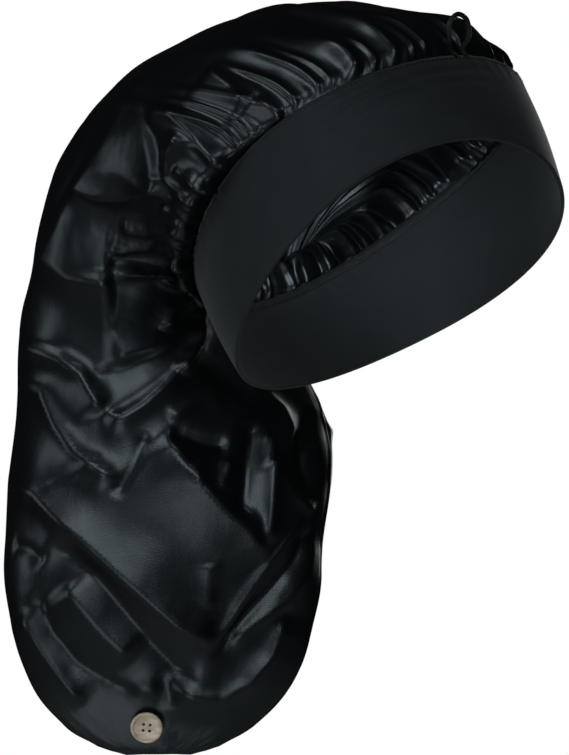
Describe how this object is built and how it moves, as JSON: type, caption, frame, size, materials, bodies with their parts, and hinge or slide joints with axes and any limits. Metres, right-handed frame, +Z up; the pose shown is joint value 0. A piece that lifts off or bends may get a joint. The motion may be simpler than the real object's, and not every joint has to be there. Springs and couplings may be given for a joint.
{
  "type": "long satin braid bonnet",
  "caption": "Long sleep bonnet for braids: wide stretch band, gathered satin bag over the crown that hangs behind, elastic loop at the forehead and a button near the tip.",
  "frame": {"origin": "middle of the band's head opening, where the head goes in", "axes": "+Z up as worn, the wearer faces -Y, the wearer's left is +X"},
  "size_m": [0.1964, 0.301, 0.3865],
  "materials": {
    "stretch_knit": "matte double knit",
    "satin": "satin",
    "elastic": "braided elastic cord",
    "horn": "polished horn look",
    "sewing_thread": "thread"
  },
  "bodies": {
    "root": {"head_band": "stretch_knit", "satin_bag": "satin", "button_loop": "elastic", "button": "horn", "button_thread": "sewing_thread"}
  },
  "joints": []
}
